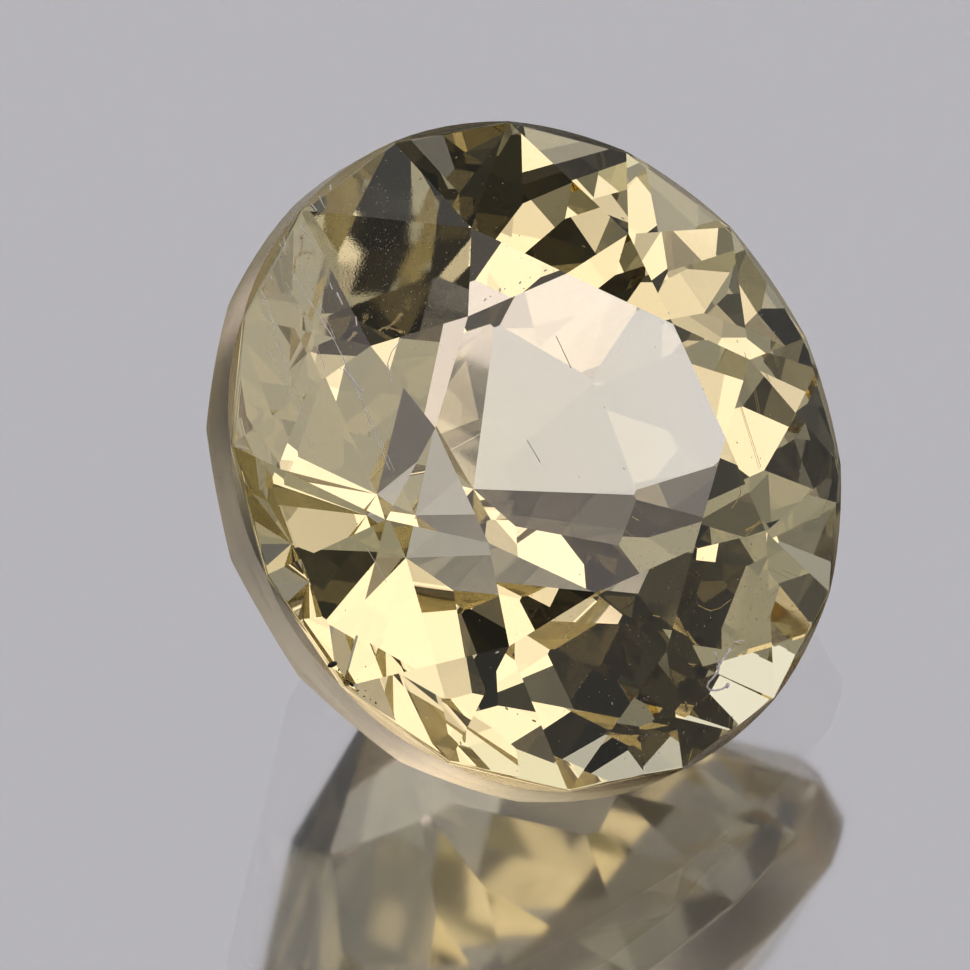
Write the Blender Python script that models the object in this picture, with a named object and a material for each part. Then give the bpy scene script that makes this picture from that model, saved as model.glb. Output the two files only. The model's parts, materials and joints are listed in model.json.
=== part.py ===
"""Diaspore crystal, cut as a round brilliant and lying on one of its pavilion facets.

Units are metres, +Z is up.  The stone is one closed solid: a round blank on which every facet
is one plane cut, as on the real stone.  Angles are measured from the girdle plane.
"""
import math

import bmesh
import bpy
from mathutils import Matrix, Vector

# Driving dimensions of the stone.
GIRDLE_RADIUS = 0.0035
GIRDLE_SIDES = 96
GIRDLE_THICKNESS = 0.147 * GIRDLE_RADIUS
CROWN_HEIGHT = 0.268 * GIRDLE_RADIUS
TABLE_CORNER_RADIUS = 0.4745 * GIRDLE_RADIUS
STAR_TIP_RADIUS = 0.672 * GIRDLE_RADIUS
PAVILION_DEPTH = 0.880 * GIRDLE_RADIUS

# Pavilion angles, from the girdle row in to the culet.
GIRDLE_ROW_ANGLE = math.radians(49.9)
CORNER_TIER_ANGLE = math.radians(48.0)
BETWEEN_TIER_ANGLE = math.radians(46.5)
MAIN_ANGLE = math.radians(33.0)

# The eightfold pattern, and how far the pavilion's is turned against the crown's.
FOLD = 8
STEP = 2.0 * math.pi / FOLD
PAVILION_TURN = math.radians(5.0)

# One pavilion facet is cut flatter and wider than the pattern.  The stone lies on it.
RESTING_AZIMUTH = math.radians(144.4)
RESTING_ANGLE = math.radians(39.5)
RESTING_REACH = 1.11 * GIRDLE_RADIUS
RESTING_YAW = math.radians(47.6)

BLANK_MARGIN = 0.05 * GIRDLE_RADIUS


def clear_scene():
    """Remove every object, so that the script always starts the same way."""
    for item in list(bpy.data.objects):
        bpy.data.objects.remove(item, do_unlink=True)


def diaspore_material():
    """Clear diaspore with a slight champagne tint."""
    material = bpy.data.materials.new("diaspore")
    material.use_nodes = True
    shader = material.node_tree.nodes["Principled BSDF"]
    shader.inputs["Base Color"].default_value = (0.93, 0.88, 0.72, 1.0)
    shader.inputs["Roughness"].default_value = 0.02
    shader.inputs["IOR"].default_value = 1.72
    shader.inputs["Transmission Weight"].default_value = 1.0
    return material


def on_circle(radius, azimuth, height):
    """A point at a radius and height; azimuths run clockwise seen from the table."""
    return Vector((radius * math.cos(azimuth), -radius * math.sin(azimuth), height))


def facet_normal(azimuth, angle, side):
    """Outward normal of a facet; side is 1 on the crown and -1 on the pavilion."""
    level = math.cos(angle) * side
    return on_circle(math.sin(angle), azimuth, level)


def plane_through(points, inside):
    """A point and outward normal of the plane through three points."""
    normal = (points[1] - points[0]).cross(points[2] - points[0]).normalized()
    if normal.dot(inside - points[0]) > 0.0:
        normal.negate()
    return points[0], normal


def girdle_blank():
    """A round blank a little taller than the finished stone."""
    blank = bmesh.new()
    top = CROWN_HEIGHT + BLANK_MARGIN
    bottom = -GIRDLE_THICKNESS - PAVILION_DEPTH - BLANK_MARGIN
    bmesh.ops.create_cone(
        blank,
        cap_ends=True,
        segments=GIRDLE_SIDES,
        radius1=GIRDLE_RADIUS,
        radius2=GIRDLE_RADIUS,
        depth=top - bottom,
    )
    bmesh.ops.translate(blank, verts=blank.verts, vec=(0.0, 0.0, (top + bottom) / 2.0))
    return blank


def grind(stone, point, normal):
    """Cut one flat facet: take off what is outside the plane and close the face."""
    parts = stone.verts[:] + stone.edges[:] + stone.faces[:]
    cut = bmesh.ops.bisect_plane(
        stone,
        geom=parts,
        dist=GIRDLE_RADIUS * 1e-6,
        plane_co=point,
        plane_no=normal,
        clear_outer=True,
    )
    rim = [item for item in cut["geom_cut"] if isinstance(item, bmesh.types.BMEdge)]
    if len(rim) > 2:
        bmesh.ops.contextual_create(stone, geom=rim)


def cut_crown(stone):
    """Table, kites, stars and the pairs of upper girdle facets."""
    kite_slope = CROWN_HEIGHT / (GIRDLE_RADIUS - TABLE_CORNER_RADIUS)
    star_reach = STAR_TIP_RADIUS * math.cos(STEP / 2.0)
    star_height = (GIRDLE_RADIUS - star_reach) * kite_slope
    table_reach = TABLE_CORNER_RADIUS * math.cos(STEP / 2.0)
    star_angle = math.atan2(CROWN_HEIGHT - star_height, STAR_TIP_RADIUS - table_reach)
    centre = Vector((0.0, 0.0, -GIRDLE_THICKNESS))
    for index in range(FOLD):
        corner = index * STEP
        between = corner + STEP / 2.0
        grind(stone, on_circle(GIRDLE_RADIUS, corner, 0.0),
              facet_normal(corner, math.atan(kite_slope), 1.0))
        tip = on_circle(STAR_TIP_RADIUS, between, star_height)
        for neighbour in (corner, corner + STEP):
            low = on_circle(GIRDLE_RADIUS, between, 0.0)
            end = on_circle(GIRDLE_RADIUS, neighbour, 0.0)
            grind(stone, *plane_through((tip, low, end), centre))
    for index in range(FOLD):
        between = (index + 0.5) * STEP
        grind(stone, on_circle(STAR_TIP_RADIUS, between, star_height),
              facet_normal(between, star_angle, 1.0))
    grind(stone, Vector((0.0, 0.0, CROWN_HEIGHT)), Vector((0.0, 0.0, 1.0)))


def cut_pavilion(stone):
    """Girdle row, two tiers of eight and the mains that meet in the culet."""
    edge = -GIRDLE_THICKNESS
    for index in range(2 * FOLD):
        azimuth = PAVILION_TURN + (index + 0.5) * STEP / 2.0
        reach = GIRDLE_RADIUS * math.cos(STEP / 4.0)
        grind(stone, on_circle(reach, azimuth, edge),
              facet_normal(azimuth, GIRDLE_ROW_ANGLE, -1.0))
    for index in range(FOLD):
        corner = PAVILION_TURN + index * STEP
        between = corner + STEP / 2.0
        grind(stone, on_circle(GIRDLE_RADIUS, between, edge),
              facet_normal(between, BETWEEN_TIER_ANGLE, -1.0))
        grind(stone, on_circle(GIRDLE_RADIUS, corner, edge),
              facet_normal(corner, CORNER_TIER_ANGLE, -1.0))
    culet = Vector((0.0, 0.0, edge - PAVILION_DEPTH))
    for index in range(FOLD):
        between = PAVILION_TURN + (index + 0.5) * STEP
        grind(stone, culet, facet_normal(between, MAIN_ANGLE, -1.0))


def cut_resting_facet(stone):
    """The single flatter facet, across the pattern's corner tier."""
    point = on_circle(RESTING_REACH, RESTING_AZIMUTH, -GIRDLE_THICKNESS)
    grind(stone, point, facet_normal(RESTING_AZIMUTH, RESTING_ANGLE, -1.0))


def lay_down(stone):
    """Turn the stone onto its resting facet and put the box's bottom centre at the origin."""
    face_front = Matrix.Rotation(RESTING_AZIMUTH - math.pi / 2.0, 4, "Z")
    tip_over = Matrix.Rotation(RESTING_ANGLE, 4, "X")
    yaw = Matrix.Rotation(RESTING_YAW, 4, "Z")
    bmesh.ops.transform(stone, matrix=yaw @ tip_over @ face_front, verts=stone.verts)
    low = Vector([min(vert.co[axis] for vert in stone.verts) for axis in range(3)])
    high = Vector([max(vert.co[axis] for vert in stone.verts) for axis in range(3)])
    centre = (low + high) / 2.0
    bmesh.ops.translate(stone, verts=stone.verts, vec=(-centre.x, -centre.y, -low.z))


def make_stone():
    """The whole cut stone as one object."""
    stone = girdle_blank()
    cut_crown(stone)
    cut_pavilion(stone)
    cut_resting_facet(stone)
    bmesh.ops.remove_doubles(stone, verts=stone.verts, dist=GIRDLE_RADIUS * 1e-5)
    bmesh.ops.recalc_face_normals(stone, faces=stone.faces)
    lay_down(stone)
    mesh = bpy.data.meshes.new("stone")
    stone.to_mesh(mesh)
    stone.free()
    mesh.materials.append(diaspore_material())
    item = bpy.data.objects.new("stone", mesh)
    bpy.context.scene.collection.objects.link(item)
    return item


clear_scene()
make_stone()
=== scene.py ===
"""Cut diaspore lying on a mirror-backed glass sheet: its looks, flaws, stage and camera."""
import json
import math
import random

import bpy
from mathutils import Matrix, Vector

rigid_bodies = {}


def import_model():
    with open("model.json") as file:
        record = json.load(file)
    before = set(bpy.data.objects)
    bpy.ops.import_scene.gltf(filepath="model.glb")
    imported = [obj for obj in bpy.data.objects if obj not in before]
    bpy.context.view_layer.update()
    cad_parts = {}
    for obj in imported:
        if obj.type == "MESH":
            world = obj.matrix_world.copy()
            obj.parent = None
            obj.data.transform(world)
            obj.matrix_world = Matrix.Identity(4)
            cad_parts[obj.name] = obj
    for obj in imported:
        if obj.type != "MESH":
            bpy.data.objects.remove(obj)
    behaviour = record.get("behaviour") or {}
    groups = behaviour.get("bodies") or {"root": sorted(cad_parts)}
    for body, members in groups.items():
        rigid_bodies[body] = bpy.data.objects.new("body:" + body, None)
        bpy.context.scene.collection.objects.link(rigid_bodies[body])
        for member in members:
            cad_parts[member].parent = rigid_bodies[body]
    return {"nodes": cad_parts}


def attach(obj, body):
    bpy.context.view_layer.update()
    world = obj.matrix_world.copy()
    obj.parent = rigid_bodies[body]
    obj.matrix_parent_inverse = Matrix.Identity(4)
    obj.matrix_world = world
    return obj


bl_info = {
    "name": "Cut Diaspore",
    "version": (1, 0, 0),
    "blender": (4, 5, 0),
    "location": "View3D > Sidebar > Diaspore",
    "description": "Finishes a cut diaspore, adds its flaws and dust and sets it on a plain stage",
    "category": "Object",
}

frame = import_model()

# The stone's own frame has the girdle's centre as origin, the table's normal as +Z and the first
# kite along +X, and is measured in girdle radii. Azimuths on the crown run clockwise, seen from
# above the table, in degrees.
GIRDLE_RADIUS = 0.0035
GIRDLE_DEPTH = 0.147
GIRDLE_SEAM = 0.006
# How the stone lies: where its resting facet is, how steep that facet is, and the turn on the sheet.
LIE_AZIMUTH = math.radians(144.4)
LIE_ANGLE = math.radians(39.5)
LIE_YAW = math.radians(47.6)
GIRDLE_CENTRE = Vector((0.0001255, -0.0000985, 0.0028682))
# The point in the middle of the picture.
VIEW_TARGET = Vector((-0.0004171, -0.0003089, 0.0026680))
WHITE = (1.0, 1.0, 1.0, 1.0)


def stone_turn():
    """Rotation from the stone's own frame to the row frame."""
    face_front = Matrix.Rotation(LIE_AZIMUTH - math.pi / 2.0, 4, "Z")
    tip_over = Matrix.Rotation(LIE_ANGLE, 4, "X")
    yaw = Matrix.Rotation(LIE_YAW, 4, "Z")
    return yaw @ tip_over @ face_front


def own_point(azimuth, radius, height):
    """Point in the stone's own frame."""
    turn = math.radians(azimuth)
    return Vector((radius * math.cos(turn), -radius * math.sin(turn), height))


def on_crown(azimuth, radius):
    """Point of the crown in the row frame, with its normal."""
    stone = frame["nodes"]["stone"]
    depsgraph = bpy.context.evaluated_depsgraph_get()
    above = GIRDLE_CENTRE + stone_turn() @ (own_point(azimuth, radius, 1.0) * GIRDLE_RADIUS)
    down = stone_turn().to_3x3() @ Vector((0.0, 0.0, -1.0))
    hit, spot, normal, _ = stone.ray_cast(above, down, depsgraph=depsgraph)
    if not hit:
        raise RuntimeError("no stone surface under the spot")
    return spot, normal


class StoneSettings(bpy.types.PropertyGroup):
    """Optical properties of the diaspore."""

    ior: bpy.props.FloatProperty(
        name="Refractive index", description="Refractive index of diaspore",
        default=1.72, min=1.0, max=3.0,
    )
    tint: bpy.props.FloatVectorProperty(
        name="Tint", description="Colour that the stone lets through",
        default=(0.92, 0.83, 0.42), subtype="COLOR", min=0.0, max=1.0,
    )
    tint_density: bpy.props.FloatProperty(
        name="Tint density", description="Absorption per metre of path",
        default=120.0, min=0.0,
    )
    girdle_roughness: bpy.props.FloatProperty(
        name="Girdle roughness", description="Roughness of the ground girdle",
        default=0.26, min=0.0, max=1.0, subtype="FACTOR",
    )
    frost_roughness: bpy.props.FloatProperty(
        name="Frost roughness", description="Roughness of the pitted patch on the crown",
        default=0.10, min=0.0, max=1.0, subtype="FACTOR",
    )
    frost_radius: bpy.props.FloatProperty(
        name="Frost radius", description="Reach of the pitted patch",
        default=0.00112, unit="LENGTH", min=0.0,
    )


class FlawSettings(bpy.types.PropertyGroup):
    """Lint, dust, scratches and chips on the stone."""

    lint_radius: bpy.props.FloatProperty(
        name="Lint radius", description="Half thickness of the lint fibre",
        default=0.0000105, unit="LENGTH", min=0.000001,
    )
    lint_colour: bpy.props.FloatVectorProperty(
        name="Lint colour", description="Colour of the lint fibre",
        default=(0.80, 0.78, 0.92), subtype="COLOR", min=0.0, max=1.0,
    )
    scratch_radius: bpy.props.FloatProperty(
        name="Scratch radius", description="Half width of a scratch",
        default=0.0000042, unit="LENGTH", min=0.000001,
    )
    scratch_colour: bpy.props.FloatVectorProperty(
        name="Scratch colour", description="Colour of the bruised scratch walls",
        default=(0.97, 0.94, 0.86), subtype="COLOR", min=0.0, max=1.0,
    )
    dust_count: bpy.props.IntProperty(
        name="Dust count", description="Single dust motes strewn over the crown",
        default=60, min=0,
    )
    dust_size: bpy.props.FloatProperty(
        name="Dust size", description="Radius of a large dust mote",
        default=0.000009, unit="LENGTH", min=0.000001,
    )
    pit_count: bpy.props.IntProperty(
        name="Pit count", description="Fine pits in the frosty patch",
        default=400, min=0,
    )
    speck_size: bpy.props.FloatProperty(
        name="Speck size", description="Radius of a dark speck at the girdle edge",
        default=0.000020, unit="LENGTH", min=0.000001,
    )


class StageSettings(bpy.types.PropertyGroup):
    """Floor, light and camera."""

    floor_radius: bpy.props.FloatProperty(
        name="Floor radius", description="Radius of the glass sheet",
        default=0.6, unit="LENGTH", min=0.01,
    )
    glass_thickness: bpy.props.FloatProperty(
        name="Glass thickness", description="Glass over the mirror backing",
        default=0.0019, unit="LENGTH", min=0.0001,
    )
    lens: bpy.props.FloatProperty(
        name="Lens", description="Focal length in millimetres", default=770.0,
        min=1.0,
    )
    camera_distance: bpy.props.FloatProperty(
        name="Camera distance", description="From the camera to the stone",
        default=0.21, unit="LENGTH", min=0.01,
    )
    camera_elevation: bpy.props.FloatProperty(
        name="Camera elevation", description="Height of the view over the floor",
        default=math.radians(45.78), subtype="ANGLE",
    )
    camera_azimuth: bpy.props.FloatProperty(
        name="Camera azimuth", description="Turn of the view about the stone",
        default=math.radians(0.5), subtype="ANGLE",
    )
    camera_roll: bpy.props.FloatProperty(
        name="Camera roll", description="Turn of the camera about its view",
        default=math.radians(-1.4), subtype="ANGLE",
    )
    exposure: bpy.props.FloatProperty(
        name="Exposure", description="Exposure of the picture in stops", default=-0.2,
    )


# The mix node's sockets for each kind of value: first input, second input and output.
MIX_SOCKETS = {"RGBA": (6, 7, 2), "VECTOR": (4, 5, 1)}


class Shading:
    """A node material or world under construction, with short calls for its nodes."""

    def __init__(self, owner, output):
        owner.use_nodes = True
        self.owner = owner
        self.nodes = owner.node_tree.nodes
        self.links = owner.node_tree.links
        self.nodes.clear()
        self.output = self.nodes.new(output)

    def node(self, kind, **settings):
        """A new node with its settings."""
        made = self.nodes.new(kind)
        for name, value in settings.items():
            setattr(made, name, value)
        return made

    def feed(self, socket, value):
        """Link an output to a socket, or set the socket's value."""
        if isinstance(value, bpy.types.NodeSocket):
            self.links.new(value, socket)
        else:
            socket.default_value = value

    def maths(self, operation, *values):
        """Result of a maths node."""
        made = self.node("ShaderNodeMath", operation=operation)
        for socket, value in zip(made.inputs, values):
            self.feed(socket, value)
        return made.outputs[0]

    def vector(self, operation, *values, **settings):
        """A vector maths node."""
        made = self.node("ShaderNodeVectorMath", operation=operation, **settings)
        for socket, value in zip(made.inputs, values):
            self.feed(socket, value)
        return made

    def step(self, value, low, high):
        """A soft step from 0 at low to 1 at high."""
        made = self.node("ShaderNodeMapRange", interpolation_type="SMOOTHSTEP")
        self.feed(made.inputs["Value"], value)
        made.inputs["From Min"].default_value = low
        made.inputs["From Max"].default_value = high
        return made.outputs[0]

    def noise(self, vector, scale, detail=3.0):
        """Noise from 0 to 1."""
        made = self.node("ShaderNodeTexNoise")
        self.feed(made.inputs["Vector"], vector)
        made.inputs["Scale"].default_value = scale
        made.inputs["Detail"].default_value = detail
        return made.outputs["Fac"]

    def blend(self, factor, first, second, kind="RGBA"):
        """Mix of two colours or, as VECTOR, of two directions."""
        made = self.node("ShaderNodeMix", data_type=kind)
        low, high, result = MIX_SOCKETS[kind]
        self.feed(made.inputs[0], factor)
        self.feed(made.inputs[low], first)
        self.feed(made.inputs[high], second)
        return made.outputs[result]

    def bump(self, height, distance, strength):
        """A bump node for a height from 0 to 1."""
        made = self.node("ShaderNodeBump")
        self.feed(made.inputs["Height"], height)
        made.inputs["Distance"].default_value = distance
        self.feed(made.inputs["Strength"], strength)
        return made

    def objects(self):
        """Object coordinates."""
        return self.node("ShaderNodeTexCoord").outputs["Object"]

    def principled(self, **values):
        """The surface shader, with its sockets named by underscores for blanks."""
        made = self.node("ShaderNodeBsdfPrincipled")
        for name, value in values.items():
            self.feed(made.inputs[name.replace("_", " ")], value)
        self.links.new(made.outputs[0], self.output.inputs["Surface"])


def material(name):
    """A new node material under construction."""
    return Shading(bpy.data.materials.new(name), "ShaderNodeOutputMaterial")


# Noise values between which a speckled surface passes from dark to pale, and how strongly its
# unevenness shows.
SPECKLE_EDGES = (0.35, 0.65)
SPECKLE_RELIEF = 0.6
# Each matt surface: speckles per metre, roughness and unevenness in metres.
MATT_SURFACES = {
    "lint": (30000.0, 0.9, 0.000002),
    "bruised_edge": (9000.0, 0.6, 0.000001),
    "chipped_edge": (24000.0, 0.45, 0.000002),
    "dark_speck": (18000.0, 0.55, 0.000003),
    "needle": (9000.0, 0.5, 0.000001),
    "dust": (26000.0, 0.95, 0.000002),
    "pit_walls": (26000.0, 0.7, 0.000001),
}


def matt_material(name, dark, pale):
    """A matt material speckled between two colours and finely uneven."""
    scale, roughness, depth = MATT_SURFACES[name]
    shade = material(name)
    speckles = shade.noise(shade.objects(), scale)
    colour = shade.blend(shade.step(speckles, *SPECKLE_EDGES), (*dark, 1.0), (*pale, 1.0))
    bump = shade.bump(speckles, depth, SPECKLE_RELIEF)
    shade.principled(Base_Color=colour, Roughness=roughness, Normal=bump.outputs[0])
    return shade.owner


def scaled(colour, factor):
    """A colour made darker or lighter."""
    return tuple(min(1.0, part * factor) for part in colour)


def own_place(shade):
    """Place of the shaded point in the stone's own frame."""
    back = stone_turn().inverted()
    move = -(back @ GIRDLE_CENTRE) / GIRDLE_RADIUS
    made = shade.node("ShaderNodeMapping")
    shade.feed(made.inputs["Vector"], shade.objects())
    made.inputs["Rotation"].default_value = back.to_euler()
    made.inputs["Location"].default_value = move
    made.inputs["Scale"].default_value = (1.0 / GIRDLE_RADIUS,) * 3
    return made.outputs[0]


def girdle_share(shade, own):
    """1 on the girdle band and 0 on the polished facets."""
    split = shade.node("ShaderNodeSeparateXYZ")
    shade.feed(split.inputs[0], own)
    height = split.outputs["Z"]
    above_pavilion = shade.step(height, -GIRDLE_DEPTH - GIRDLE_SEAM, -GIRDLE_DEPTH + GIRDLE_SEAM)
    below_crown = shade.step(height, GIRDLE_SEAM, -GIRDLE_SEAM)
    return shade.maths("MULTIPLY", above_pavilion, below_crown)


def round_normal(shade, own, backfacing):
    """Normal of a perfectly round girdle in world space, on the side that the ray comes from."""
    outward = shade.vector("MULTIPLY", own, (1.0, 1.0, 0.0)).outputs[0]
    turned = shade.node("ShaderNodeMapping", vector_type="NORMAL")
    shade.feed(turned.inputs["Vector"], outward)
    turned.inputs["Rotation"].default_value = stone_turn().to_euler()
    world = shade.node("ShaderNodeVectorTransform", vector_type="NORMAL",
                       convert_from="OBJECT", convert_to="WORLD")
    shade.feed(world.inputs[0], turned.outputs[0])
    side = shade.maths("SUBTRACT", 1.0, shade.maths("MULTIPLY", backfacing, 2.0))
    faced = shade.vector("SCALE", world.outputs[0])
    shade.feed(faced.inputs["Scale"], side)
    return faced.outputs[0]


# The ground girdle: streaks per girdle radius along each axis, and their two colours.
GIRDLE_STREAKS = (2.5, 2.5, 30.0)
GIRDLE_DARK = (0.80, 0.74, 0.84, 1.0)
GIRDLE_PALE = (0.98, 0.92, 0.98, 1.0)


def girdle_colour(shade, own, girdle):
    """White on the facets, and streaked rose-grey on the ground girdle."""
    stretched = shade.vector("MULTIPLY", own, GIRDLE_STREAKS).outputs[0]
    streaks = shade.step(shade.noise(stretched, 1.0), *SPECKLE_EDGES)
    ground = shade.blend(streaks, GIRDLE_DARK, GIRDLE_PALE)
    return shade.blend(girdle, WHITE, ground)


# Place of the frosty patch's middle in the stone's own frame.
FROST_AZIMUTH = 318.0
FROST_PLACE = 0.76
FROST_HEIGHT = 0.12
# Its ragged edge: how often it wavers in a girdle radius and how far.
FROST_WAVES = 7.0
FROST_WAVER = 0.16
# The patch fades from the inner distance off its middle to the outer one beyond its reach.
FROST_INNER = 0.10
FROST_OUTER = 0.08
# Its pitting: scale and detail of the noise, the values between which it counts as pitted, and
# the depth in metres with the share of it that shows.
PITTING_SCALE = 150.0
PITTING_DETAIL = 4.0
PITTING_EDGES = (0.42, 0.66)
PITTING_DEPTH = 0.000004
PITTING_RELIEF = 0.2


def frost_share(shade, own, reach):
    """1 in the middle of the frosty patch and 0 beyond its reach, in an uneven shape."""
    middle = own_point(FROST_AZIMUTH, FROST_PLACE, FROST_HEIGHT)
    away = shade.vector("DISTANCE", own, middle)
    ragged = shade.maths("MULTIPLY", shade.noise(own, FROST_WAVES), FROST_WAVER)
    distance = shade.maths("ADD", away.outputs["Value"], ragged)
    return shade.step(distance, reach / GIRDLE_RADIUS + FROST_OUTER, FROST_INNER)


def stone_surface(shade, settings):
    """Clear polished facets, a ground girdle and a frosty patch."""
    own = own_place(shade)
    girdle = girdle_share(shade, own)
    frost = frost_share(shade, own, settings.frost_radius)
    pits = shade.noise(own, PITTING_SCALE, PITTING_DETAIL)
    pitted = shade.maths("MULTIPLY", frost, shade.step(pits, *PITTING_EDGES))
    ground = shade.maths("MULTIPLY", girdle, settings.girdle_roughness)
    frosted = shade.maths("MULTIPLY", pitted, settings.frost_roughness)
    geometry = shade.node("ShaderNodeNewGeometry")
    rounded = round_normal(shade, own, geometry.outputs["Backfacing"])
    normal = shade.blend(girdle, geometry.outputs["Normal"], rounded, "VECTOR")
    bump = shade.bump(pits, PITTING_DEPTH, shade.maths("MULTIPLY", frost, PITTING_RELIEF))
    shade.feed(bump.inputs["Normal"], normal)
    shade.principled(
        Base_Color=girdle_colour(shade, own, girdle), IOR=settings.ior, Transmission_Weight=1.0,
        Roughness=shade.maths("ADD", ground, frosted), Normal=bump.outputs[0],
    )


def stone_body(shade, settings):
    """The stone's absorption."""
    volume = shade.node("ShaderNodeVolumeAbsorption")
    volume.inputs["Color"].default_value = (*settings.tint, 1.0)
    volume.inputs["Density"].default_value = settings.tint_density
    shade.links.new(volume.outputs[0], shade.output.inputs["Volume"])


class DIASPORE_OT_finish_stone(bpy.types.Operator):
    """Give the stone its clear champagne diaspore, ground girdle and frosty patch"""

    bl_idname = "diaspore.finish_stone"
    bl_label = "Finish Stone"

    def execute(self, context):
        settings = context.scene.diaspore_stone
        stone = frame["nodes"]["stone"]
        shade = material("clear_diaspore")
        stone_surface(shade, settings)
        stone_body(shade, settings)
        stone.data.materials.clear()
        stone.data.materials.append(shade.owner)
        return {"FINISHED"}


def strand(points, radius):
    """A thin round strand through points."""
    bpy.ops.object.select_all(action="DESELECT")
    bpy.ops.mesh.primitive_plane_add(size=radius, location=points[0])
    bpy.ops.object.mode_set(mode="EDIT")
    bpy.ops.mesh.select_all(action="SELECT")
    bpy.ops.mesh.merge(type="CENTER")
    for last, spot in zip(points, points[1:]):
        bpy.ops.mesh.extrude_vertices_move(TRANSFORM_OT_translate={"value": spot - last})
    bpy.ops.object.mode_set(mode="OBJECT")
    bpy.ops.object.convert(target="CURVE")
    curve = bpy.context.object
    curve.data.bevel_depth = radius
    curve.data.bevel_resolution = 1
    curve.data.use_fill_caps = True
    bpy.ops.object.convert(target="MESH")
    return bpy.context.object


def grain(spot, normal, size, shape, spin, detail=1):
    """A small rounded grain, its shape in shares of its size along, across and up the normal."""
    bpy.ops.object.select_all(action="DESELECT")
    turn = normal.to_track_quat("Z", "Y") @ Matrix.Rotation(spin, 3, "Z").to_quaternion()
    bpy.ops.mesh.primitive_ico_sphere_add(
        subdivisions=detail, radius=1.0, location=spot, rotation=turn.to_euler())
    bpy.context.object.scale = [size * share for share in shape]
    return bpy.context.object


def join(name, parts, surface):
    """Join parts to one finished piece with a material."""
    bpy.ops.object.select_all(action="DESELECT")
    for part in parts:
        part.select_set(True)
    bpy.context.view_layer.objects.active = parts[0]
    if len(parts) > 1:
        bpy.ops.object.join()
    piece = bpy.context.object
    bpy.ops.object.transform_apply(location=True, rotation=True, scale=True)
    bpy.ops.object.mode_set(mode="EDIT")
    bpy.ops.mesh.select_all(action="SELECT")
    bpy.ops.mesh.normals_make_consistent(inside=False)
    bpy.ops.object.mode_set(mode="OBJECT")
    bpy.ops.object.shade_smooth()
    piece.name = name
    piece.data.name = name
    piece.data.materials.clear()
    piece.data.materials.append(surface)
    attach(piece, "root")


def between(start, end, count):
    """Evenly spaced pairs from one pair of numbers to another."""
    steps = [step / (count - 1) for step in range(count)]
    return [tuple(a + (b - a) * part for a, b in zip(start, end)) for part in steps]


def flat_pair(azimuth, radius):
    """Azimuth and radius as plane coordinates."""
    turn = math.radians(azimuth)
    return radius * math.cos(turn), radius * math.sin(turn)


def polar_pair(across, along):
    """Plane coordinates as azimuth and radius."""
    return math.degrees(math.atan2(along, across)) % 360.0, math.hypot(across, along)


def scored_line(start, end, depth, count):
    """Points along a straight line over the crown, sunk by a depth."""
    points = []
    for pair in between(flat_pair(*start), flat_pair(*end), count):
        spot, normal = on_crown(*polar_pair(*pair))
        points.append(spot - normal * depth)
    return points


# The lint fibre from its upper end: azimuth, radius, and lift in fibre radii.
LINT_PATH = (
    (139.9, 0.778, 1.6), (141.2, 0.780, 2.4), (142.7, 0.783, 3.0), (144.1, 0.791, 2.8),
    (144.9, 0.804, 2.4), (146.3, 0.808, 2.0), (147.7, 0.812, 1.6), (148.4, 0.821, 1.3),
    (147.9, 0.834, 1.2), (146.7, 0.845, 1.3), (145.2, 0.853, 1.8), (143.7, 0.855, 2.4),
)
LINT_FORK = ((144.1, 0.790, 2.8), (143.9, 0.774, 3.0), (143.8, 0.764, 2.6), (143.7, 0.756, 2.0))
LINT_BIT = ((137.8, 0.771, 1.2), (136.2, 0.782, 1.6), (134.9, 0.794, 1.2))
# The fibre's strands with their thickness in shares of the lint radius.
LINT_STRANDS = ((LINT_PATH, 1.0), (LINT_FORK, 0.8), (LINT_BIT, 0.6))
# The lint's frayed ends: azimuth, radius and size in fibre radii, with the shape and turn of all.
LINT_ENDS = ((139.8, 0.778, 2.0), (143.7, 0.755, 1.6), (143.6, 0.855, 2.2), (144.3, 0.792, 1.5))
FRAY_SHAPE = (1.4, 1.0, 0.8)
FRAY_SPIN = 0.6
LINT_SHADES = (0.8, 1.25)


class DIASPORE_OT_add_lint(bpy.types.Operator):
    """Add the lint fibre hooked over the dark facets"""

    bl_idname = "diaspore.add_lint"
    bl_label = "Add Lint"

    def execute(self, context):
        settings = context.scene.diaspore_flaws
        strands = []
        for path, share in LINT_STRANDS:
            points = []
            for azimuth, radius, lift in path:
                spot, normal = on_crown(azimuth, radius)
                points.append(spot + normal * lift * settings.lint_radius)
            strands.append(strand(points, settings.lint_radius * share))
        for azimuth, radius, share in LINT_ENDS:
            spot, normal = on_crown(azimuth, radius)
            size = settings.lint_radius * share
            strands.append(grain(spot + normal * size, normal, size, FRAY_SHAPE, FRAY_SPIN, detail=2))
        shades = [scaled(settings.lint_colour, factor) for factor in LINT_SHADES]
        join("lint_fibre", strands, matt_material("lint", *shades))
        return {"FINISHED"}


# Long scratches over the crown: start and end as azimuth and radius, and width share.
SCRATCHES = (
    ((298.3, 0.975), (291.8, 0.915), 1.0),
    ((313.3, 0.990), (309.6, 0.905), 0.7),
    ((303.7, 0.926), (259.4, 0.611), 0.9),
    ((302.6, 0.915), (259.0, 0.600), 0.7),
    ((301.2, 0.925), (284.0, 0.760), 0.6),
    ((294.0, 0.955), (273.0, 0.800), 0.5),
    ((296.5, 0.965), (281.0, 0.840), 0.5),
    ((307.0, 0.930), (292.0, 0.760), 0.5),
    ((289.0, 0.930), (266.0, 0.790), 0.4),
    ((243.6, 0.744), (234.8, 0.743), 0.8),
)
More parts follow.
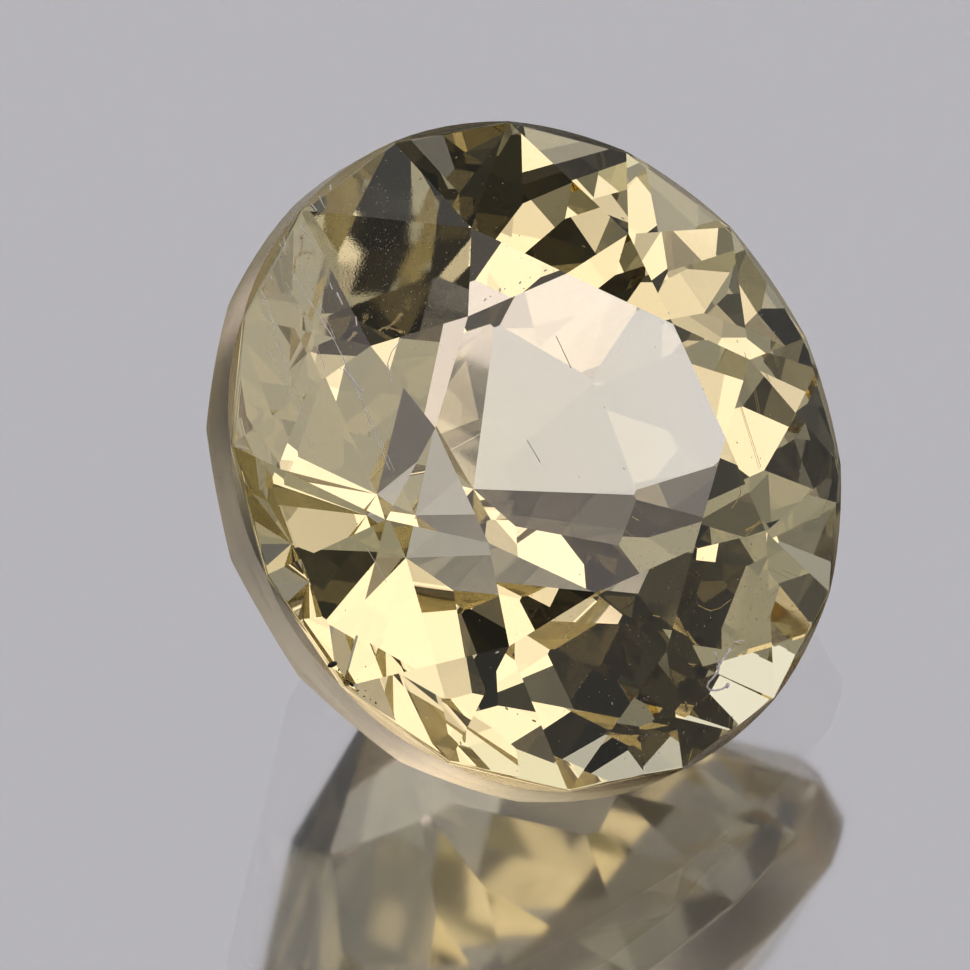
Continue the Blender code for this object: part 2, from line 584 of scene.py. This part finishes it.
# Short bright nicks near the girdle edge.
NICKS = (
    ((322.7, 0.990), (322.0, 0.979), 2.3),
    ((319.5, 0.988), (318.1, 0.955), 1.3),
    ((317.3, 0.988), (316.7, 0.966), 1.6),
    ((309.2, 0.990), (307.6, 0.968), 1.6),
    ((307.8, 0.990), (306.3, 0.961), 1.3),
    ((308.6, 0.985), (307.2, 0.970), 1.1),
    ((301.5, 0.970), (300.6, 0.958), 1.2),
)
# Bruised streaks inside the dark left of the crown.
STREAKS = (
    ((303.0, 0.799), (300.8, 0.773), 2.2),
    ((299.0, 0.730), (296.8, 0.720), 1.8),
    ((304.5, 0.827), (303.2, 0.812), 1.4),
    ((285.8, 0.722), (280.8, 0.663), 3.2),
    ((297.4, 0.598), (292.8, 0.612), 1.1),
    ((292.8, 0.612), (289.1, 0.615), 1.2),
    ((289.1, 0.615), (286.7, 0.606), 1.6),
    ((286.7, 0.606), (284.0, 0.593), 1.1),
)
# The three pieces with the number of points along each line.
SCORED_PIECES = (("scratches", SCRATCHES, 24), ("nicks", NICKS, 5), ("streaks", STREAKS, 4))
# How far a line's middle is sunk, in shares of its half width.
SCRATCH_SINK = 0.35
BRUISE_SHADES = (0.85, 1.15)


def scored_strands(rows, width, sink, count):
    """A strand along each scored line."""
    strands = []
    for start, end, share in rows:
        points = scored_line(start, end, width * share * sink, count)
        strands.append(strand(points, width * share))
    return strands


class DIASPORE_OT_add_scratches(bpy.types.Operator):
    """Add the long scratches, the nicks at the girdle edge and the bruised streaks"""

    bl_idname = "diaspore.add_scratches"
    bl_label = "Add Scratches"

    def execute(self, context):
        settings = context.scene.diaspore_flaws
        shades = [scaled(settings.scratch_colour, factor) for factor in BRUISE_SHADES]
        surface = matt_material("bruised_edge", *shades)
        for name, rows, count in SCORED_PIECES:
            join(name, scored_strands(rows, settings.scratch_radius, SCRATCH_SINK, count), surface)
        return {"FINISHED"}


# Chips along the table edge: azimuth, radius, half length and half width in micrometres.
CHIPS = (
    (325.2, 0.474, 26, 9), (327.9, 0.472, 12, 6), (332.7, 0.474, 30, 11), (334.6, 0.470, 10, 7),
    (341.3, 0.469, 24, 10), (346.0, 0.476, 12, 6), (352.6, 0.488, 26, 9), (355.6, 0.485, 10, 6),
    (41.8, 0.497, 16, 8), (204.4, 0.698, 22, 10),
)
MICROMETRE = 1e-6
# A chip's half height in shares of its half width, and how far it may be turned either way.
CHIP_FLATNESS = 0.5
CHIP_SWING = 0.5
CHIP_COLOURS = ((0.60, 0.58, 0.50), (0.95, 0.93, 0.85))
CHIP_SEED = 11
# Dark specks at the lower left of the girdle edge: azimuth, radius and size share.
SPECKS = (
    (228.9, 0.977, 1.8), (227.5, 0.975, 0.5), (226.1, 0.981, 0.4), (225.2, 0.979, 0.4),
    (224.2, 0.978, 1.0), (222.7, 0.977, 0.5), (221.2, 0.976, 0.4), (221.7, 0.963, 0.3),
    (220.0, 0.971, 0.3), (218.9, 0.968, 0.5),
)
SPECK_SHAPE = (1.5, 0.8, 0.45)
SPECK_COLOURS = ((0.010, 0.009, 0.006), (0.05, 0.045, 0.03))


class DIASPORE_OT_add_chips(bpy.types.Operator):
    """Add the pale chips on facet edges and the dark specks at the girdle edge"""

    bl_idname = "diaspore.add_chips"
    bl_label = "Add Chips"

    def execute(self, context):
        settings = context.scene.diaspore_flaws
        rng = random.Random(CHIP_SEED)
        chips = []
        for azimuth, radius, length, width in CHIPS:
            spot, normal = on_crown(azimuth, radius)
            shape = (length, width, width * CHIP_FLATNESS)
            spin = rng.uniform(-CHIP_SWING, CHIP_SWING)
            chips.append(grain(spot, normal, MICROMETRE, shape, spin, detail=2))
        join("edge_chips", chips, matt_material("chipped_edge", *CHIP_COLOURS))
        specks = []
        for azimuth, radius, share in SPECKS:
            spot, normal = on_crown(azimuth, radius)
            size = settings.speck_size * share
            spin = rng.uniform(0.0, math.pi)
            specks.append(grain(spot, normal, size, SPECK_SHAPE, spin, detail=2))
        join("edge_specks", specks, matt_material("dark_speck", *SPECK_COLOURS))
        return {"FINISHED"}


# Fine needles under the table and hairlines on the crown: start, end and width share.
NEEDLES = (
    ((349.5, 0.292), (356.0, 0.194), 0.9),
    ((261.7, 0.181), (237.7, 0.169), 0.9),
    ((174.8, 0.849), (162.4, 0.879), 1.2),
)
NEEDLE_SINK = 0.5
NEEDLE_POINTS = 8
NEEDLE_COLOURS = ((0.10, 0.08, 0.05), (0.30, 0.26, 0.20))


class DIASPORE_OT_add_needles(bpy.types.Operator):
    """Add the fine dark needles and hairlines"""

    bl_idname = "diaspore.add_needles"
    bl_label = "Add Needles"

    def execute(self, context):
        width = context.scene.diaspore_flaws.scratch_radius
        strands = scored_strands(NEEDLES, width, NEEDLE_SINK, NEEDLE_POINTS)
        join("needles", strands, matt_material("needle", *NEEDLE_COLOURS))
        return {"FINISHED"}


# Dust clusters over the dark facets: azimuth, radius, spread and motes.
CLUSTERS = (
    (165.5, 0.79, 0.045, 16), (160.1, 0.878, 0.030, 9), (169.1, 0.874, 0.020, 8),
    (165.8, 0.898, 0.018, 7), (188.9, 0.609, 0.040, 6), (175.3, 0.759, 0.040, 6),
    (141.3, 0.602, 0.050, 6), (150.0, 0.700, 0.060, 8), (138.0, 0.740, 0.020, 4),
)
# A mote's size and length are drawn from these shares, and its height is a share of its size.
DUST_SIZES = (0.35, 0.45, 0.6, 0.8)
DUST_LENGTHS = (1.0, 1.4, 2.6)
DUST_HEIGHT = 0.6
# Radii within which single motes are strewn, and beyond which none stays on the stone.
DUST_REACH = 0.97
DUST_RIM = 0.985
DUST_COLOURS = ((0.42, 0.43, 0.46), (0.80, 0.80, 0.84))
DUST_SEED = 7


def dust_spots(rng, strewn):
    """Plane coordinates of the clustered motes and of the strewn ones."""
    spots = []
    for azimuth, radius, spread, count in CLUSTERS:
        across, along = flat_pair(azimuth, radius)
        for _ in range(count):
            spots.append((across + rng.gauss(0.0, spread), along + rng.gauss(0.0, spread)))
    for _ in range(strewn):
        spots.append(flat_pair(rng.uniform(0.0, 360.0), DUST_REACH * math.sqrt(rng.random())))
    return spots


class DIASPORE_OT_add_dust(bpy.types.Operator):
    """Add dust motes in clusters and strewn over the crown"""

    bl_idname = "diaspore.add_dust"
    bl_label = "Add Dust"

    def execute(self, context):
        settings = context.scene.diaspore_flaws
        rng = random.Random(DUST_SEED)
        motes = []
        for across, along in dust_spots(rng, settings.dust_count):
            azimuth, radius = polar_pair(across, along)
            if radius > DUST_RIM:
                continue
            spot, normal = on_crown(azimuth, radius)
            size = settings.dust_size * rng.choice(DUST_SIZES)
            shape = (rng.choice(DUST_LENGTHS), 1.0, DUST_HEIGHT)
            motes.append(grain(spot, normal, size, shape, rng.uniform(0.0, math.pi)))
        join("dust_motes", motes, matt_material("dust", *DUST_COLOURS))
        return {"FINISHED"}


# A pit's half width and length share are drawn from these, and its depth is a share of its width.
PIT_SIZES = (2.6e-6, 3.6e-6, 5.0e-6)
PIT_LENGTHS = (1.0, 1.6, 2.6)
PIT_DEPTH = 0.5
# Spread of the pits across and along, in shares of the patch's reach, and the ring of the crown
# that holds them.
PIT_SPREAD = (0.5, 0.45)
PIT_RING = (0.50, 0.96)
# The pits lie along one heading, and swing a little about it.
PIT_HEADING = math.radians(60.0)
PIT_SWING = 0.3
PIT_COLOURS = ((0.35, 0.32, 0.24), (0.72, 0.68, 0.55))
PIT_SEED = 23


class DIASPORE_OT_add_pits(bpy.types.Operator):
    """Add the fine pits of the frosty patch"""

    bl_idname = "diaspore.add_pits"
    bl_label = "Add Pits"

    def execute(self, context):
        settings = context.scene.diaspore_flaws
        reach = context.scene.diaspore_stone.frost_radius / GIRDLE_RADIUS
        rng = random.Random(PIT_SEED)
        middle = flat_pair(FROST_AZIMUTH, FROST_PLACE)
        pits = []
        while len(pits) < settings.pit_count:
            pair = [place + rng.gauss(0.0, reach * spread) for place, spread in zip(middle, PIT_SPREAD)]
            azimuth, radius = polar_pair(*pair)
            if not PIT_RING[0] <= radius <= PIT_RING[1]:
                continue
            spot, normal = on_crown(azimuth, radius)
            size = rng.choice(PIT_SIZES)
            shape = (rng.choice(PIT_LENGTHS), 1.0, PIT_DEPTH)
            pits.append(grain(spot, normal, size, shape, PIT_HEADING + rng.gauss(0.0, PIT_SWING)))
        join("frost_pits", pits, matt_material("pit_walls", *PIT_COLOURS))
        return {"FINISHED"}


# The sheet's two round layers: how many sides each has, how far the top one lies under the stone,
# and the finish of the clear glass and of its silvered back.
SHEET_SIDES = 96
SHEET_TOP = -0.00001
SHEET_GLASS = {"Transmission_Weight": 1.0, "IOR": 1.5, "Roughness": 0.0, "Base_Color": WHITE}
SHEET_MIRROR = {"Metallic": 0.94, "Roughness": 0.055, "Base_Color": (0.75, 0.74, 0.76, 1.0)}


def sheet_layer(name, radius, height, finish):
    """A flat round layer of the sheet, with its finish."""
    bpy.ops.mesh.primitive_circle_add(
        vertices=SHEET_SIDES, radius=radius, fill_type="NGON", location=(0.0, 0.0, height))
    layer = bpy.context.object
    layer.name = name
    shade = material(name)
    shade.principled(**finish)
    layer.data.materials.append(shade.owner)


class DIASPORE_OT_add_stage(bpy.types.Operator):
    """Add the mirror-backed glass sheet"""

    bl_idname = "diaspore.add_stage"
    bl_label = "Add Stage"

    def execute(self, context):
        settings = context.scene.diaspore_stage
        sheet_layer("sheet_top", settings.floor_radius, SHEET_TOP, SHEET_GLASS)
        sheet_layer("sheet_mirror", settings.floor_radius, -settings.glass_thickness, SHEET_MIRROR)
        return {"FINISHED"}


# Radiance of the pale band round the horizon and of the plain sky above it, and the elevations
# in degrees between which one passes into the other.
LOW_SURROUNDINGS = 0.37
HIGH_SURROUNDINGS = 0.05
BAND_TOP = (17.0, 27.0)
SURROUNDINGS_TINT = (1.0, 0.995, 1.02)
# Areas brighter than the lamp radiance take the lamps' tint.
LAMP_TINT = (1.0, 0.905, 0.88)
LAMP_RADIANCE = 1.2
# Each area: name, azimuth and elevation of its middle and its radius in degrees, and its radiance.
# Azimuth 0 is beyond the stone and 90 to the right of the camera.
DARK_AREAS = (
    ("dark_camera", 210, 48, 27, 0.02),
    ("dark_front_low", 174, 38, 20.5, 0.02),
)
SOFT_LIGHTS = (
    ("overhead_front", 138, 74, 12, 1.38),
    ("overhead_back", 294, 80, 15.5, 1.4),
    ("window", 303, 56, 18, 0.97),
    ("back_right", 64, 62, 12, 1.45),
    ("right", 101, 34, 10, 1.4),
    ("front_right", 137, 45, 10.5, 1.45),
    ("front_right_low", 147, 27, 8.5, 0.36),
    ("back", 359, 46.5, 17.5, 0.64),
    ("backdrop", 0, 46, 7, 0.66),
)
# An area fades between these shares of its radius, from the outside in.
AREA_EDGES = (1.5, 0.7)


def heading(azimuth, elevation):
    """Unit vector from an azimuth and elevation in degrees."""
    turn, rise = math.radians(azimuth), math.radians(elevation)
    return math.sin(turn) * math.cos(rise), math.cos(turn) * math.cos(rise), math.sin(rise)


def with_areas(shade, coords, colour, areas):
    """The sky's colour with round soft-edged areas laid over it."""
    for name, azimuth, elevation, radius, radiance in areas:
        toward = shade.vector("DOT_PRODUCT", coords, heading(azimuth, elevation), label=name)
        outer, inner = (math.cos(math.radians(radius * edge)) for edge in AREA_EDGES)
        tint = LAMP_TINT if radiance > LAMP_RADIANCE else SURROUNDINGS_TINT
        light = (*[part * radiance for part in tint], 1.0)
        colour = shade.blend(shade.step(toward.outputs["Value"], outer, inner), colour, light)
    return colour


class DIASPORE_OT_add_light(bpy.types.Operator):
    """Surround the stage with soft light"""

    bl_idname = "diaspore.add_light"
    bl_label = "Add Light"

    def execute(self, context):
        world = bpy.data.worlds.new("studio")
        context.scene.world = world
        shade = Shading(world, "ShaderNodeOutputWorld")
        coords = shade.node("ShaderNodeTexCoord").outputs["Generated"]
        height = shade.node("ShaderNodeSeparateXYZ")
        shade.feed(height.inputs[0], coords)
        bottom, top = (math.sin(math.radians(edge)) for edge in BAND_TOP)
        rise = shade.step(height.outputs["Z"], bottom, top)
        low = (*scaled(SURROUNDINGS_TINT, LOW_SURROUNDINGS), 1.0)
        high = (*scaled(SURROUNDINGS_TINT, HIGH_SURROUNDINGS), 1.0)
        sky = with_areas(shade, coords, high, DARK_AREAS)
        colour = with_areas(shade, coords, shade.blend(rise, low, sky), SOFT_LIGHTS)
        background = shade.node("ShaderNodeBackground")
        shade.feed(background.inputs["Color"], colour)
        shade.links.new(background.outputs[0], shade.output.inputs["Surface"])
        return {"FINISHED"}


# Width of the camera's sensor in millimetres, and its nearest and farthest distance in metres.
SENSOR_WIDTH = 36.0
NEAREST = 0.01
FARTHEST = 2.0


class DIASPORE_OT_add_camera(bpy.types.Operator):
    """Add the camera at the photograph's viewing angle"""

    bl_idname = "diaspore.add_camera"
    bl_label = "Add Camera"

    def execute(self, context):
        settings = context.scene.diaspore_stage
        azimuth, elevation = settings.camera_azimuth, settings.camera_elevation
        back = Vector((
            math.sin(azimuth) * math.cos(elevation),
            -math.cos(azimuth) * math.cos(elevation),
            math.sin(elevation),
        ))
        bpy.ops.object.camera_add(location=VIEW_TARGET + back * settings.camera_distance)
        camera = context.object
        camera.name = "photo_camera"
        roll = Matrix.Rotation(settings.camera_roll, 3, "Z").to_quaternion()
        camera.rotation_mode = "QUATERNION"
        camera.rotation_quaternion = (-back).to_track_quat("-Z", "Y") @ roll
        camera.data.sensor_width = SENSOR_WIDTH
        camera.data.lens = settings.lens
        camera.data.clip_start = NEAREST
        camera.data.clip_end = FARTHEST
        context.scene.camera = camera
        return {"FINISHED"}


def picture_settings(scene):
    """Light paths, noise removal and tone of the picture."""
    cycles = scene.cycles
    cycles.max_bounces = 40
    cycles.transmission_bounces = 32
    cycles.glossy_bounces = 24
    cycles.diffuse_bounces = 4
    cycles.transparent_max_bounces = 16
    cycles.caustics_reflective = True
    cycles.caustics_refractive = True
    cycles.blur_glossy = 0.0
    cycles.sample_clamp_indirect = 0.0
    cycles.use_denoising = True
    cycles.sampling_pattern = "TABULATED_SOBOL"
    scene.view_settings.view_transform = "Standard"
    scene.view_settings.look = "Medium High Contrast"
    scene.view_settings.exposure = scene.diaspore_stage.exposure


STEPS = (
    DIASPORE_OT_finish_stone,
    DIASPORE_OT_add_lint,
    DIASPORE_OT_add_scratches,
    DIASPORE_OT_add_chips,
    DIASPORE_OT_add_needles,
    DIASPORE_OT_add_dust,
    DIASPORE_OT_add_pits,
    DIASPORE_OT_add_stage,
    DIASPORE_OT_add_light,
    DIASPORE_OT_add_camera,
)


class DIASPORE_PT_panel(bpy.types.Panel):
    """Settings and steps of the cut diaspore"""

    bl_idname = "DIASPORE_PT_panel"
    bl_label = "Cut Diaspore"
    bl_space_type = "VIEW_3D"
    bl_region_type = "UI"
    bl_category = "Diaspore"

    def draw(self, context):
        scene = context.scene
        for title, settings in (("Stone", scene.diaspore_stone), ("Flaws", scene.diaspore_flaws),
                                ("Stage", scene.diaspore_stage)):
            box = self.layout.box()
            box.label(text=title)
            for name in settings.__annotations__:
                box.prop(settings, name)
        column = self.layout.column(align=True)
        for step in STEPS:
            column.operator(step.bl_idname)


CLASSES = (StoneSettings, FlawSettings, StageSettings, *STEPS, DIASPORE_PT_panel)


def register():
    """Register the classes and the settings."""
    for item in CLASSES:
        bpy.utils.register_class(item)
    bpy.types.Scene.diaspore_stone = bpy.props.PointerProperty(type=StoneSettings)
    bpy.types.Scene.diaspore_flaws = bpy.props.PointerProperty(type=FlawSettings)
    bpy.types.Scene.diaspore_stage = bpy.props.PointerProperty(type=StageSettings)


def unregister():
    """Remove the settings and the classes."""
    del bpy.types.Scene.diaspore_stage
    del bpy.types.Scene.diaspore_flaws
    del bpy.types.Scene.diaspore_stone
    for item in reversed(CLASSES):
        bpy.utils.unregister_class(item)


def main():
    """Build the scene."""
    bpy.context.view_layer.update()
    register()
    bpy.ops.diaspore.finish_stone()
    bpy.ops.diaspore.add_lint()
    bpy.ops.diaspore.add_scratches()
    bpy.ops.diaspore.add_chips()
    bpy.ops.diaspore.add_needles()
    bpy.ops.diaspore.add_dust()
    bpy.ops.diaspore.add_pits()
    bpy.ops.diaspore.add_stage()
    bpy.ops.diaspore.add_light()
    bpy.ops.diaspore.add_camera()
    picture_settings(bpy.context.scene)


if __name__ == "__main__":
    main()
